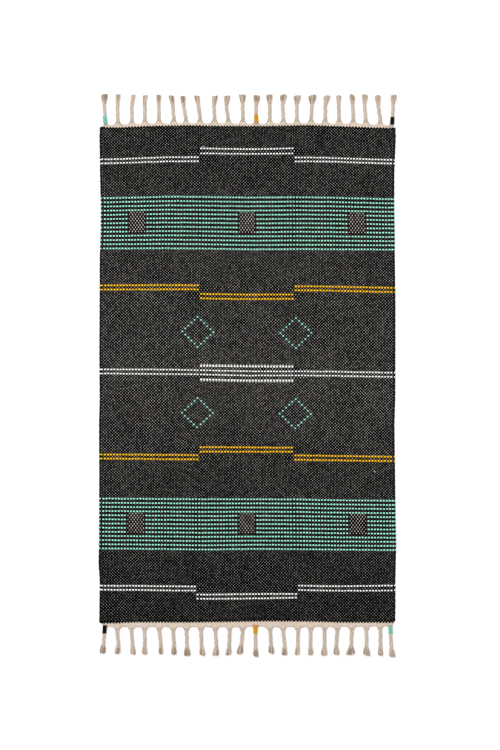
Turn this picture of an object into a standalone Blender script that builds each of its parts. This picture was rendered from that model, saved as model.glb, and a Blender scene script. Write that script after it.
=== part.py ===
# Flat woven cotton kilim, 70 by 120 cm, lying flat, with a fringe of 22 tassels at each end.
# Metres. +X runs across the width, +Y along the length to the far end, and +Z up.
# The origin is on the floor under the middle of the kilim.

from collections import namedtuple

import bmesh
import bpy
from mathutils import Vector

MM = 0.001

# Cloth
CLOTH_THICKNESS = 4.0 * MM
SELVEDGE_ROUNDING = 0.9 * MM
SELVEDGE_ROUNDING_STEPS = 1

# Heading, whose sections have an inner low, outer low, outer high and inner high corner
HEADING_THICKNESS = 3.0 * MM
HEADING_GAP = 0.5 * MM
HEADING_END_INSET = 4.0 * MM
HEADING_END_DEPTH = 2.0 * MM
HEADING_CORNER = 3.0 * MM
SCALLOP_STEPS = (0.12, 0.3, 0.5, 0.7, 0.88)
SCALLOP_POWER = 3
OUTER_LOW = 1
OUTER_HIGH = 2

# Tassels
STEM_WIDTH = 9.2 * MM
STEM_HEIGHT = 7.4 * MM
STEM_SWELL = 6.0 * MM
WAIST_SHARE = 0.6
NECK_WIDTH = 8.6 * MM
BRUSH_LENGTH = 21.0 * MM
BRUSH_HEIGHT = 6.6 * MM
LOCK_SHARE = 0.86
LOCK_SETTLE = 0.35

# Coloured wraps
WRAP_WIDTH = 10.2 * MM
WRAP_HEIGHT = 8.2 * MM
WRAP_WALL = 1.2 * MM
WRAP_LENGTH = 19.0 * MM
WRAP_START = 2.4 * MM
PIECE_GAP = 0.35 * MM

# Left and right edges of the cloth, from the far end to the near end, in millimetres
Selvedge = namedtuple("Selvedge", "y left right")
SELVEDGES = [
    Selvedge(584, -350.6, 351.0),
    Selvedge(565, -350.8, 351.2),
    Selvedge(537, -350.2, 350.1),
    Selvedge(480, -349.6, 347.7),
    Selvedge(395, -347.4, 347.6),
    Selvedge(340, -347.8, 348.6),
    Selvedge(281, -350.1, 348.9),
    Selvedge(167, -350.4, 350.3),
    Selvedge(54, -351.0, 350.2),
    Selvedge(-60, -350.3, 349.8),
    Selvedge(-117, -351.8, 347.9),
    Selvedge(-231, -351.2, 349.4),
    Selvedge(-345, -351.5, 350.8),
    Selvedge(-402, -351.8, 352.0),
    Selvedge(-445, -352.9, 351.2),
    Selvedge(-487, -350.1, 350.2),
    Selvedge(-544, -350.8, 350.4),
    Selvedge(-583, -352.0, 350.6),
]

# Far and near edges of the cloth, and the hollows of the heading between tassels, in millimetres
End = namedtuple("End", "x far near far_hollow near_hollow")
ENDS = [
    End(-349.6, 589.0, -588.7, 594.6, -596.6),
    End(-329, 587.1, -587.6, 594.6, -597.4),
    End(-310, 585.9, -587.0, 594.9, -597.4),
    End(-273, 588.0, -585.2, 595.6, -597.0),
    End(-235, 589.7, -585.0, 596.3, -596.8),
    End(-140, 591.1, -585.4, 596.6, -596.6),
    End(-64, 589.8, -584.4, 596.6, -596.6),
    End(50, 589.6, -582.5, 596.6, -596.6),
    End(145, 591.6, -583.2, 596.6, -596.4),
    End(220, 589.0, -585.4, 596.2, -595.8),
    End(296, 586.1, -585.8, 595.0, -595.0),
    End(334, 585.2, -586.1, 592.9, -594.9),
    End(349.8, 586.5, -587.0, 592.0, -594.9),
]

# Tassels of the far end, left to right: where the stem leaves the heading, the middle of
# the stem, and the tip, with the width of the brush there, in millimetres
Tassel = namedtuple("Tassel", "root_x root_y waist_x tip_x tip_y brush")
FAR_TASSELS = [
    Tassel(-336.6, 592.8, -340.2, -338.5, 667.0, 16.4),
    Tassel(-306.9, 596.8, -308.6, -306.8, 666.0, 14.7),
    Tassel(-274.3, 599.2, -274.6, -270.2, 665.5, 11.6),
    Tassel(-243.0, 601.2, -244.1, -241.8, 664.5, 12.8),
    Tassel(-209.8, 602.6, -210.8, -210.2, 665.0, 12.1),
    Tassel(-174.3, 602.6, -177.3, -181.0, 663.5, 14.0),
    Tassel(-145.3, 602.6, -151.8, -153.0, 662.0, 14.3),
    Tassel(-112.0, 602.6, -116.4, -120.4, 663.5, 14.8),
    Tassel(-78.0, 602.6, -79.8, -77.0, 663.0, 15.0),
    Tassel(-45.5, 602.4, -50.5, -48.6, 663.0, 17.5),
    Tassel(-11.0, 602.4, -12.0, -12.3, 666.0, 18.2),
    Tassel(20.6, 596.0, 19.6, 22.2, 664.0, 17.0),
    Tassel(52.0, 602.4, 52.3, 52.0, 666.0, 16.5),
    Tassel(84.8, 602.4, 82.6, 86.3, 666.0, 17.0),
    Tassel(117.0, 602.6, 115.9, 117.4, 664.0, 19.5),
    Tassel(150.2, 602.6, 152.2, 155.0, 665.5, 20.6),
    Tassel(183.4, 602.4, 184.0, 189.0, 664.0, 17.0),
    Tassel(216.8, 601.8, 215.5, 216.4, 664.0, 13.2),
    Tassel(250.8, 601.8, 248.4, 247.3, 666.0, 13.6),
    Tassel(280.0, 600.6, 276.8, 278.2, 666.0, 14.4),
    Tassel(315.2, 597.6, 309.5, 308.2, 664.5, 14.6),
    Tassel(342.2, 590.4, 344.3, 346.4, 666.0, 15.2),
]

# Tassels of the near end, left to right
NEAR_TASSELS = [
    Tassel(-337.6, -592.6, -341.0, -343.5, -660.0, 14.5),
    Tassel(-308.9, -601.3, -306.0, -308.0, -661.5, 15.0),
    Tassel(-275.5, -600.4, -272.6, -270.5, -663.0, 13.4),
    Tassel(-244.3, -600.4, -243.3, -243.0, -663.0, 14.2),
    Tassel(-209.6, -600.8, -205.5, -205.2, -662.0, 11.6),
    Tassel(-176.8, -601.6, -174.5, -174.0, -663.0, 13.6),
    Tassel(-145.1, -601.6, -143.5, -141.5, -666.0, 16.2),
    Tassel(-110.8, -601.6, -109.0, -105.4, -665.5, 14.8),
    Tassel(-76.9, -601.6, -73.6, -75.8, -666.0, 17.4),
    Tassel(-42.6, -601.6, -43.3, -46.1, -664.5, 14.7),
    Tassel(-11.0, -601.6, -14.8, -19.0, -662.0, 15.2),
    Tassel(18.4, -592.8, 19.0, 19.6, -668.0, 14.0),
    Tassel(52.6, -601.6, 56.0, 56.8, -661.0, 13.6),
    Tassel(83.5, -601.6, 87.9, 88.4, -664.5, 16.0),
    Tassel(119.5, -601.6, 119.0, 117.0, -664.0, 12.8),
    Tassel(149.5, -601.6, 148.9, 150.2, -664.0, 13.3),
    Tassel(182.6, -601.6, 182.2, 181.6, -665.5, 15.8),
    Tassel(213.0, -601.2, 210.0, 211.3, -664.0, 15.2),
    Tassel(247.2, -601.0, 245.4, 243.7, -664.0, 22.6),
    Tassel(281.4, -600.6, 281.8, 282.7, -665.5, 17.0),
    Tassel(314.0, -598.4, 314.8, 314.7, -665.5, 13.0),
    Tassel(338.2, -593.8, 339.8, 343.2, -668.5, 16.8),
]

# Which tassels carry a coloured wrap, by their place from the left
FAR_WRAPS = {0: "mint", 11: "orange", 21: "black"}
NEAR_WRAPS = {0: "black", 11: "orange", 21: "mint"}

# Half of a bundle's section, left to right: place across, and share of the height
Facet = namedtuple("Facet", "across low high")
BUNDLE = [
    Facet(-1.0, 0.32, 0.68),
    Facet(-0.5, 0.0, 0.95),
    Facet(0.0, 0.0, 1.0),
    Facet(0.5, 0.0, 0.95),
    Facet(1.0, 0.32, 0.68),
]

# Colour and roughness of each material
FINISHES = {
    "black": ((0.012, 0.012, 0.013, 1.0), 0.92),
    "natural": ((0.60, 0.50, 0.40, 1.0), 0.94),
    "mint": ((0.10, 0.56, 0.36, 1.0), 0.88),
    "orange": ((0.83, 0.29, 0.01, 1.0), 0.88),
}


def clear_scene():
    for old in list(bpy.data.objects):
        bpy.data.objects.remove(old, do_unlink=True)


def new_collection(name):
    made = bpy.data.collections.new(name)
    bpy.context.scene.collection.children.link(made)
    return made


def add_object(name, data, finish, collection):
    made = bpy.data.objects.new(name, data)
    material = bpy.data.materials.new(name)
    material.use_nodes = True
    colour, roughness = FINISHES[finish]
    shader = material.node_tree.nodes["Principled BSDF"]
    shader.inputs["Base Color"].default_value = colour
    shader.inputs["Roughness"].default_value = roughness
    shader.inputs["Metallic"].default_value = 0.0
    data.materials.append(material)
    collection.objects.link(made)
    return made


def read_off(table, key, column, at):
    """The table's column at a place along its key, in metres, on straight lines between rows."""
    rows = sorted(table, key=lambda row: getattr(row, key))
    places = [getattr(row, key) * MM for row in rows]
    values = [getattr(row, column) * MM for row in rows]
    if at <= places[0]:
        return values[0]
    for low in range(len(rows) - 1):
        if at <= places[low + 1]:
            share = (at - places[low]) / (places[low + 1] - places[low])
            return values[low] + share * (values[low + 1] - values[low])
    return values[-1]


# Cloth
def cloth_outline():
    """Points round the cloth, over the far end, down the right side and back."""
    far = [(row.x * MM, row.far * MM) for row in ENDS]
    near = [(row.x * MM, row.near * MM) for row in ENDS]
    right = [(row.right * MM, row.y * MM) for row in SELVEDGES]
    left = [(row.left * MM, row.y * MM) for row in SELVEDGES]
    return far + right + near[::-1] + left[::-1]


def build_cloth(collection):
    outline = cloth_outline()
    curve = bpy.data.curves.new("cloth", "CURVE")
    curve.dimensions = "2D"
    curve.fill_mode = "BOTH"
    curve.extrude = CLOTH_THICKNESS / 2 - SELVEDGE_ROUNDING
    curve.bevel_depth = SELVEDGE_ROUNDING
    curve.bevel_resolution = SELVEDGE_ROUNDING_STEPS
    curve.offset = -SELVEDGE_ROUNDING
    spline = curve.splines.new("POLY")
    spline.points.add(len(outline) - 1)
    for point, (x, y) in zip(spline.points, outline):
        point.co = (x, y, 0.0, 1.0)
    spline.use_cyclic_u = True
    cloth = add_object("cloth", curve, "black", collection)
    cloth.location.z = CLOTH_THICKNESS / 2
    return cloth


# Fringe
def stem_x(tassel, y):
    """The middle of a tassel across the width, at a place along its length."""
    waist_y = tassel.root_y + WAIST_SHARE * (tassel.tip_y - tassel.root_y)
    if abs(y) <= abs(waist_y * MM):
        share = (y - tassel.root_y * MM) / ((waist_y - tassel.root_y) * MM)
        return (tassel.root_x + share * (tassel.waist_x - tassel.root_x)) * MM
    share = (y - waist_y * MM) / ((tassel.tip_y - waist_y) * MM)
    return (tassel.waist_x + share * (tassel.tip_x - tassel.waist_x)) * MM


def bundle_ring(x, y, width, height, lift=0.0):
    """A ring round a bundle of yarn, along its underside and back over the top."""
    under = [(x + f.across * width / 2, y, lift + f.low * height) for f in BUNDLE]
    over = [(x + f.across * width / 2, y, lift + f.high * height) for f in BUNDLE]
    return under + over[::-1]


def bridge(mesh, first, second):
    """Faces between two closed rings of as many vertices."""
    count = len(first)
    for low in range(count):
        high = (low + 1) % count
        mesh.faces.new((first[low], first[high], second[high], second[low]))


def new_ring(mesh, points):
    return [mesh.verts.new(point) for point in points]


def heading_stations(side, tassels, wraps):
    """Places along the heading: x, outer edge, and the tassel that leaves there if one does."""
    edge, hollow = ("far", "far_hollow") if side > 0 else ("near", "near_hollow")
    left = ENDS[0].x * MM + HEADING_END_INSET
    right = ENDS[-1].x * MM - HEADING_END_INSET
    end_depth = side * HEADING_END_DEPTH
    stations = [(left, read_off(ENDS, "x", edge, left) + end_depth, None)]
    for number, tassel in enumerate(tassels):
        half = root_width(number, wraps) / 2
        x, root_y = tassel.root_x * MM, tassel.root_y * MM
        if number == 0:
            corner = x - half - HEADING_CORNER
            stations.append((corner, root_y, None))
        stations += [(x + f.across * half, root_y, number) for f in BUNDLE]
        if number + 1 == len(tassels):
            corner = x + half + HEADING_CORNER
            stations.append((corner, root_y, None))
            break
        start = x + half
        finish = tassels[number + 1].root_x * MM - root_width(number + 1, wraps) / 2
        next_y = tassels[number + 1].root_y * MM
        for step in SCALLOP_STEPS:
            here = start + step * (finish - start)
            low = read_off(ENDS, "x", hollow, here)
            peak = root_y if step < 0.5 else next_y
            rise = abs(2 * step - 1) ** SCALLOP_POWER
            stations.append((here, low + rise * (peak - low), None))
    stations.append((right, read_off(ENDS, "x", edge, right) + end_depth, None))
    return stations


def root_width(number, wraps):
    return slim(WRAP_WIDTH) if number in wraps else STEM_WIDTH


def slim(outer):
    """The size of a stem inside a wrap of this outer size."""
    return outer - 2 * (WRAP_WALL + PIECE_GAP)


def add_heading(mesh, side, stations):
    """The flat strip. Returns the open ring of vertices at the root of each tassel."""
    edge = "far" if side > 0 else "near"
    rows = []
    for x, outer, number in stations:
        inner = read_off(ENDS, "x", edge, x) + side * HEADING_GAP
        corners = [(x, inner, 0), (x, outer, 0), (x, outer, HEADING_THICKNESS)]
        corners.append((x, inner, HEADING_THICKNESS))
        rows.append((new_ring(mesh, corners), number))
    roots = {}
    for (first, first_number), (second, second_number) in zip(rows, rows[1:]):
        at_root = first_number is not None and first_number == second_number
        for low in range(len(first)):
            high = (low + 1) % len(first)
            if not (at_root and low == OUTER_LOW):
                mesh.faces.new((first[low], first[high], second[high], second[low]))
    mesh.faces.new(rows[0][0])
    mesh.faces.new(rows[-1][0][::-1])
    for ring, number in rows:
        if number is not None:
            roots.setdefault(number, []).append(ring)
    return {number: open_ring(rings) for number, rings in roots.items()}


def open_ring(rings):
    """The outer corners of some stations, along the underside and back over the top."""
    return [ring[OUTER_LOW] for ring in rings] + [ring[OUTER_HIGH] for ring in rings[::-1]]


def stem_rings(tassel, side, wrapped):
    """The sections of a stem from its root to its neck: y, width, height and lift."""
    root_y = tassel.root_y * MM
    neck_y = tassel.tip_y * MM - side * BRUSH_LENGTH
    waist_y = root_y + WAIST_SHARE * (tassel.tip_y * MM - root_y)
    full = (STEM_WIDTH, STEM_HEIGHT, 0.0)
    neck = (neck_y, NECK_WIDTH, STEM_HEIGHT, 0.0)
    if not wrapped:
        return [(root_y + side * STEM_SWELL, *full), (waist_y, *full), neck]
    inner = (slim(WRAP_WIDTH), slim(WRAP_HEIGHT), WRAP_WALL + PIECE_GAP)
    start = root_y + side * WRAP_START
    finish = start + side * WRAP_LENGTH
    clear = finish + side * 2 * PIECE_GAP
    return [(start - side * PIECE_GAP, *inner), (clear, *inner), (clear + side * WRAP_WALL, *full), neck]


def add_brush(mesh, ring, tassel, side):
    """Closes a stem's neck and grows one lock of four sides from each of its cells."""
    count = len(BUNDLE)
    under, over = ring[:count], ring[count:][::-1]
    neck_y = under[0].co.y
    tip_y = tassel.tip_y * MM
    settle_y = neck_y + LOCK_SETTLE * (tip_y - neck_y)
    for cell in range(count - 1):
        corners = [under[cell], under[cell + 1], over[cell + 1], over[cell]]
        middle = sum((c.co for c in corners), Vector()) / len(corners)
        root = new_ring(mesh, [middle + LOCK_SHARE * (c.co - middle) for c in corners])
        bridge(mesh, corners, root)
        settled = lock_ring(tassel, cell, settle_y, LOCK_SETTLE)
        tip = lock_ring(tassel, cell, tip_y, 1.0)
        rings = [root, new_ring(mesh, settled), new_ring(mesh, tip)]
        bridge(mesh, rings[0], rings[1])
        bridge(mesh, rings[1], rings[2])
        mesh.faces.new(rings[2])


def lock_ring(tassel, cell, y, share):
    """The section of one lock, level on the floor, a share of the way out to the tip."""
    cells = len(BUNDLE) - 1
    spread = NECK_WIDTH + share * (tassel.brush * MM - NECK_WIDTH)
    pitch = spread / cells
    middle = stem_x(tassel, y) + (cell - (cells - 1) / 2) * pitch
    half = LOCK_SHARE * pitch / 2
    left, right = middle - half, middle + half
    high = BRUSH_HEIGHT * min(BUNDLE[cell].high, BUNDLE[cell + 1].high)
    return [(left, y, 0), (right, y, 0), (right, y, high), (left, y, high)]


def build_fringe(name, side, tassels, wraps, collection):
    mesh = bmesh.new()
    roots = add_heading(mesh, side, heading_stations(side, tassels, wraps))
    for number, tassel in enumerate(tassels):
        ring = roots[number]
        for y, width, height, lift in stem_rings(tassel, side, number in wraps):
            points = bundle_ring(stem_x(tassel, y), y, width, height, lift)
            following = new_ring(mesh, points)
            bridge(mesh, ring, following)
            ring = following
        add_brush(mesh, ring, tassel, side)
    bmesh.ops.recalc_face_normals(mesh, faces=mesh.faces)
    data = bpy.data.meshes.new(name)
    mesh.to_mesh(data)
    mesh.free()
    return add_object(name, data, "natural", collection)


# Wraps
def build_wrap(name, side, tassel, finish, collection):
    """A sleeve of wound yarn round the foot of a tassel, as an open tube with a wall."""
    start = tassel.root_y * MM + side * WRAP_START
    mesh = bmesh.new()
    ends = []
    for y in (start, start + side * WRAP_LENGTH):
        points = bundle_ring(stem_x(tassel, y), y, WRAP_WIDTH, WRAP_HEIGHT)
        ends.append(new_ring(mesh, points))
    bridge(mesh, *ends)
    if side > 0:
        bmesh.ops.reverse_faces(mesh, faces=mesh.faces)
    data = bpy.data.meshes.new(name)
    mesh.to_mesh(data)
    mesh.free()
    wrap = add_object(name, data, finish, collection)
    wall = wrap.modifiers.new("wall", "SOLIDIFY")
    wall.thickness = WRAP_WALL
    wall.offset = -1.0
    wall.use_even_offset = True
    return wrap


def main():
    clear_scene()
    kilim = new_collection("kilim")
    build_cloth(kilim)
    ends = (("far", 1, FAR_TASSELS, FAR_WRAPS), ("near", -1, NEAR_TASSELS, NEAR_WRAPS))
    for end, side, tassels, wraps in ends:
        build_fringe(f"fringe_{end}", side, tassels, wraps, kilim)
        for number, finish in wraps.items():
            build_wrap(f"wrap_{finish}_{end}", side, tassels[number], finish, kilim)


main()
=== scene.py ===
"""Flat woven cotton kilim with inlaid stripes, squares and diamonds, laid on a pale floor.

Metres. +X runs across the width, +Y along the length to the far end, and +Z up. A place in the
weave is a warp number, counted from the left, and a pick number, counted from the far end.
"""

import math
from collections import namedtuple
from functools import lru_cache

import bpy
import numpy as np
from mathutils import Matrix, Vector


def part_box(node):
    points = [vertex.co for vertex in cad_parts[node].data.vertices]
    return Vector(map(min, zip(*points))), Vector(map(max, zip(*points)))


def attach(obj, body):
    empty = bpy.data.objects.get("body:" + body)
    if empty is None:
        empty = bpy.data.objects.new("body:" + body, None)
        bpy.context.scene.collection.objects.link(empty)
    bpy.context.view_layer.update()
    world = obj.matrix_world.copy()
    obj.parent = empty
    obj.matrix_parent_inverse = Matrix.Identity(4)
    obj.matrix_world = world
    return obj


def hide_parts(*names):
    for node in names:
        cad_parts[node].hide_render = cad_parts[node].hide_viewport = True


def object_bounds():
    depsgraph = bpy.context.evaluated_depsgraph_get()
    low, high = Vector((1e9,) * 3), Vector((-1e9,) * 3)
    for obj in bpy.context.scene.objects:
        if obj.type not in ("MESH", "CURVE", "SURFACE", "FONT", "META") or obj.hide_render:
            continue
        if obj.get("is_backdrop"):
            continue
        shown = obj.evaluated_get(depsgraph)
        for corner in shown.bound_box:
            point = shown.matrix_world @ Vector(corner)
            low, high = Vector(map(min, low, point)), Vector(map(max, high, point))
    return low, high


bl_info = {
    "name": "Woven Kilim",
    "version": (1, 0, 0),
    "blender": (4, 5, 0),
    "location": "View3D > Sidebar > Kilim",
    "description": "Makes the weave, inlay, headings, tassels and wound feet of a flat woven kilim",
    "category": "Add Mesh",
}

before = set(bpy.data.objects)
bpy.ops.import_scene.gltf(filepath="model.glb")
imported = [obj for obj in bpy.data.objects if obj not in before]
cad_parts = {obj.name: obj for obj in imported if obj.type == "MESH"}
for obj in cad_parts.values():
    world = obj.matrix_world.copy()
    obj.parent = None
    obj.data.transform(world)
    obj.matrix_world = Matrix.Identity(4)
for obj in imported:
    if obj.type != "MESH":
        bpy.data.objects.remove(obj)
CAD_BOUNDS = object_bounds()

MM = 0.001
FULL_TURN = 2 * math.pi
BODY = "root"
SIDES = {"far": 1, "near": -1}
WRAPPED = {"far": ("mint", "orange", "black"), "near": ("black", "orange", "mint")}

# Weave: a warp stands over the pick where their numbers add up to an odd one
WARPS = 193
PICKS = 315
SELVEDGE_WARPS = 2
SECTION_ENDS = (0, 79, 165, 241, PICKS)
SECTION_NAMES = ("weave_far_end", "weave_far_middle", "weave_near_middle", "weave_near_end")

# How far across the cloth some warps lie, as a share of its width. The middle third is denser
WarpPlace = namedtuple("WarpPlace", "warp share")
WARP_PLACES = [
    WarpPlace(-0.5, 0.0),
    WarpPlace(1.5, 0.0117),
    WarpPlace(63.0, 0.3319),
    WarpPlace(65.0, 0.3438),
    WarpPlace(125.0, 0.6521),
    WarpPlace(127.0, 0.6641),
    WarpPlace(189.0, 0.9868),
    WarpPlace(190.5, 0.9930),
    WarpPlace(192.5, 1.0),
]

# Where some picks lie along the length, in millimetres, at seven places across. The yarn laid in
# with a pick holds it open, so the picks bow where a stripe steps down to its neighbour. The bows
# are rounded over a number of half steps to each side
PLACES_ACROSS = (-338.9, -187.2, -111.4, 2.4, 116.1, 192.0, 334.2)
PickPlace = namedtuple("PickPlace", "pick left mid_left seam_left middle seam_right mid_right right")
PICK_PLACES = [
    PickPlace(18, None, None, 536.8, 534.7, 537.0, None, None),
    PickPlace(20, None, None, 525.2, 523.8, 524.7, None, None),
    PickPlace(22, 510.7, 515.7, 516.0, None, 515.0, 514.3, 509.6),
    PickPlace(24, 501.5, 506.0, 506.5, None, 505.8, 505.8, 501.0),
    PickPlace(49, 419.0, 422.1, 421.6, 420.2, 420.9, 420.2, 416.4),
    PickPlace(73, 299.8, 300.5, 299.8, 297.7, 298.4, 298.1, 297.2),
    PickPlace(100, 212.1, 213.1, 212.1, None, 210.2, 209.5, 206.4),
    PickPlace(102, 202.4, 203.3, 202.6, None, 201.0, 200.0, 196.7),
    PickPlace(104, None, None, 192.0, 190.3, 190.8, None, None),
    PickPlace(106, None, None, 181.5, 179.9, 180.6, None, None),
    PickPlace(120, None, None, 137.5, None, 135.1, None, None),
    PickPlace(140, None, None, 66.6, None, 63.8, None, None),
    PickPlace(154, None, None, 21.8, 20.1, 19.7, None, None),
    PickPlace(156, 13.5, 12.8, 11.4, 9.0, 8.8, 8.3, 5.7),
    PickPlace(158, 3.8, 2.6, 1.4, -1.2, -0.9, -1.4, -4.3),
    PickPlace(160, None, None, -10.4, -12.6, -12.8, None, None),
    PickPlace(174, None, None, -54.3, None, -56.6, None, None),
    PickPlace(194, None, None, -123.5, None, -125.8, None, None),
    PickPlace(208, None, None, -170.9, -171.4, -172.1, None, None),
    PickPlace(210, None, None, -181.3, -181.5, -181.5, None, None),
    PickPlace(212, -188.2, -189.1, -189.8, None, -190.3, -191.3, -193.4),
    PickPlace(214, -197.7, -199.1, -199.8, None, -200.5, -201.5, -203.6),
    PickPlace(243, -292.5, -293.6, -294.1, -294.1, -294.6, -296.3, -297.9),
    PickPlace(267, -410.5, -411.9, -413.3, -411.7, -412.1, -413.1, -414.3),
    PickPlace(292, -498.9, -500.3, -500.8, None, -498.6, -500.1, -498.9),
    PickPlace(294, -508.4, -510.0, -510.5, None, -508.8, -510.5, -510.3),
    PickPlace(296, None, None, -520.2, -518.6, -518.3, None, None),
    PickPlace(298, None, None, -529.9, -529.2, -527.3, None, None),
]
BOW_REACH = 13

# Stripes: the picks with laid-in yarn, and the spans of dots, counted from the left
Stripe = namedtuple("Stripe", "yarn picks spans")
STRIPES = [
    Stripe("white", (18, 20), ((31, 61),)),
    Stripe("white", (22, 24), ((0, 30), (62, 93))),
    Stripe("orange", (100, 102), ((0, 30), (62, 93))),
    Stripe("orange", (104, 106), ((31, 61),)),
    Stripe("white", (154, 160), ((31, 61),)),
    Stripe("white", (156, 158), ((0, 93),)),
    Stripe("orange", (208, 210), ((31, 61),)),
    Stripe("orange", (212, 214), ((0, 30), (62, 93))),
    Stripe("white", (292, 294), ((0, 29), (63, 93))),
    Stripe("white", (296, 298), ((30, 62),)),
]
LAST_STRIPE_DOT = 93
STRIPE_FIRST_WARP = 3

# Mint bands: rows on every other pick, left open in three squares
BAND_PICKS = (49, 243)
BAND_ROWS = 13
BAND_DOTS = 95
BAND_FIRST_WARP = 2
SQUARE_ROWS = (4, 8)
SQUARE_DOTS = ((8, 13), (44, 49), (80, 85))

# Mint diamonds: the dot at the middle, the first pick, and the dots from the middle to a point
DIAMOND_DOTS = (30, 62)
DIAMOND_PICKS = (120, 174)
DIAMOND_REACH = 5

# Half the size of a dot along the pick and along the warp
DotSize = namedtuple("DotSize", "along across")
DOT_SIZES = {
    "white": DotSize(3.4 * MM, 2.55 * MM),
    "orange": DotSize(3.45 * MM, 2.9 * MM),
    "tall": DotSize(3.4 * MM, 2.9 * MM),
    "peak": DotSize(1.5 * MM, 1.7 * MM),
    "band": DotSize(3.4 * MM, 2.62 * MM),
    "diamond": DotSize(2.95 * MM, 2.45 * MM),
    "edge": DotSize(2.8 * MM, 2.5 * MM),
    "turn": DotSize(2.6 * MM, 2.0 * MM),
}
# The outermost white rows run to a point on the pick beyond them
POINTED_PICKS = {154: -1, 160: 1}

# Where the random draws of each piece start
SEEDS = {
    "lattice": 11,
    "weave": 5,
    "inlay_white": 5,
    "inlay_mint": 4,
    "inlay_orange": 6,
    "heading": 23,
    "floats": 41,
    "tassels_far": 31,
    "tassels_near": 37,
}


def draws(name):
    return np.random.default_rng(SEEDS[name])


def smooth(share):
    return share * share * (3 - 2 * share)


# Reading the frame
def node_points(name):
    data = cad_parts[name].data
    points = np.empty(len(data.vertices) * 3)
    data.vertices.foreach_get("co", points)
    return points.reshape(-1, 3)


def rim(points, key, value, largest):
    """The outermost values of some points for each place along their key, as two arrays."""
    places = {}
    for point in points:
        place = round(float(point[key]), 4)
        old = places.get(place)
        new = float(point[value])
        if old is None or (new > old) == largest:
            places[place] = new
    order = sorted(places)
    return np.array(order), np.array([places[place] for place in order])


class ClothOutline:
    """The four edges of the cloth, read from its solid."""

    END_ZONE = 12 * MM
    SIDE_ZONE = 10 * MM

    def __init__(self):
        points = node_points("cloth")
        low, high = points.min(axis=0), points.max(axis=0)
        self.width = high[0] - low[0]
        far = points[points[:, 1] > high[1] - self.END_ZONE]
        near = points[points[:, 1] < low[1] + self.END_ZONE]
        left = points[points[:, 0] < low[0] + self.SIDE_ZONE]
        right = points[points[:, 0] > high[0] - self.SIDE_ZONE]
        self.ends = {"far": rim(far, 0, 1, True), "near": rim(near, 0, 1, False)}
        self.sides = {"left": rim(left, 1, 0, False), "right": rim(right, 1, 0, True)}

    def end(self, name, x):
        return np.interp(x, *self.ends[name])

    def side(self, name, y):
        return np.interp(y, *self.sides[name])


# The lattice of warps and picks
def yarn_drift(rng, yarns, knots, samples, size):
    """Small wandering of each yarn from its place, one row for each yarn."""
    coarse = rng.normal(0.0, size, (yarns, knots))
    places = np.linspace(0, knots - 1, samples)
    return np.array([np.interp(places, np.arange(knots), row) for row in coarse])


class Lattice:
    """Where the warps and picks cross, sampled at every half step over the whole cloth."""

    STEPS = 2
    WARP_DRIFT = 0.14 * MM
    PICK_DRIFT = 0.12 * MM
    WARP_KNOTS = 60
    PICK_KNOTS = 40
    END_FADE = 18.0

    def __init__(self):
        self.outline = ClothOutline()
        self.warps = np.arange(WARPS * self.STEPS + 1) / self.STEPS - 0.5
        self.picks = np.arange(PICKS * self.STEPS + 1) / self.STEPS - 0.5
        shares = np.interp(self.warps, *zip(*WARP_PLACES))
        straight = (shares - 0.5) * self.outline.width
        self.y = self.pick_lines(straight)
        left = self.outline.side("left", self.y)
        right = self.outline.side("right", self.y)
        self.x = left + shares * (right - left)
        self.wander()

    def pick_lines(self, across):
        """The place along the length of every pick line at every warp line."""
        stations = []
        for number, x in enumerate(PLACES_ACROSS):
            rows = [(row.pick, row[number + 1]) for row in PICK_PLACES]
            known = [(pick, y * MM) for pick, y in rows if y is not None]
            picks, places = zip(*known)
            far = self.outline.end("far", x * MM)
            near = self.outline.end("near", x * MM)
            picks = (self.picks[0], *picks, self.picks[-1])
            stations.append(np.interp(self.picks, picks, (far, *places, near)))
        stations = np.array(stations)
        stretch = np.array(PLACES_ACROSS) * MM
        lines = np.array([np.interp(across, stretch, row) for row in stations.T])
        lines = self.soften(lines)
        return self.fit_ends(lines, across)

    def soften(self, lines):
        """Rounds the bends of the picks, because weft yarn is springy."""
        window = np.hanning(2 * BOW_REACH + 1)
        window /= window.sum()
        padded = np.pad(lines, ((0, 0), (BOW_REACH, BOW_REACH)), mode="edge")
        return np.array([np.convolve(row, window, mode="valid") for row in padded])

    def fit_ends(self, lines, across):
        """Brings the first and last lines to the cloth's edges, less and less further in."""
        far = self.outline.end("far", across) - lines[0]
        near = self.outline.end("near", across) - lines[-1]
        from_far = np.exp(-(self.picks - self.picks[0]) / self.END_FADE)[:, None]
        from_near = np.exp(-(self.picks[-1] - self.picks) / self.END_FADE)[:, None]
        return lines + far * from_far + near * from_near

    def wander(self):
        rng = draws("lattice")
        rows, columns = self.y.shape
        across = yarn_drift(rng, WARPS, self.WARP_KNOTS, rows, self.WARP_DRIFT)
        along = yarn_drift(rng, PICKS, self.PICK_KNOTS, columns, self.PICK_DRIFT)
        warp_places = np.clip(self.warps, 0, WARPS - 1)
        pick_places = np.clip(self.picks, 0, PICKS - 1)
        inside = (self.warps > SELVEDGE_WARPS) & (self.warps < WARPS - 1 - SELVEDGE_WARPS)
        shift = np.array([np.interp(warp_places, np.arange(WARPS), row) for row in across.T])
        self.x += np.where(inside, shift, 0.0)
        lift = np.array([np.interp(pick_places, np.arange(PICKS), row) for row in along.T])
        self.y[1:-1] += lift.T[1:-1]

    def at(self, warp, pick):
        """The place of a crossing, by whole numbers."""
        row = int(self.STEPS * (pick + 0.5))
        column = int(self.STEPS * (warp + 0.5))
        return self.x[row, column], self.y[row, column]


# Meshes
SHEET_MARGIN = 0.02
CAP_MAP = 0.1


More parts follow.
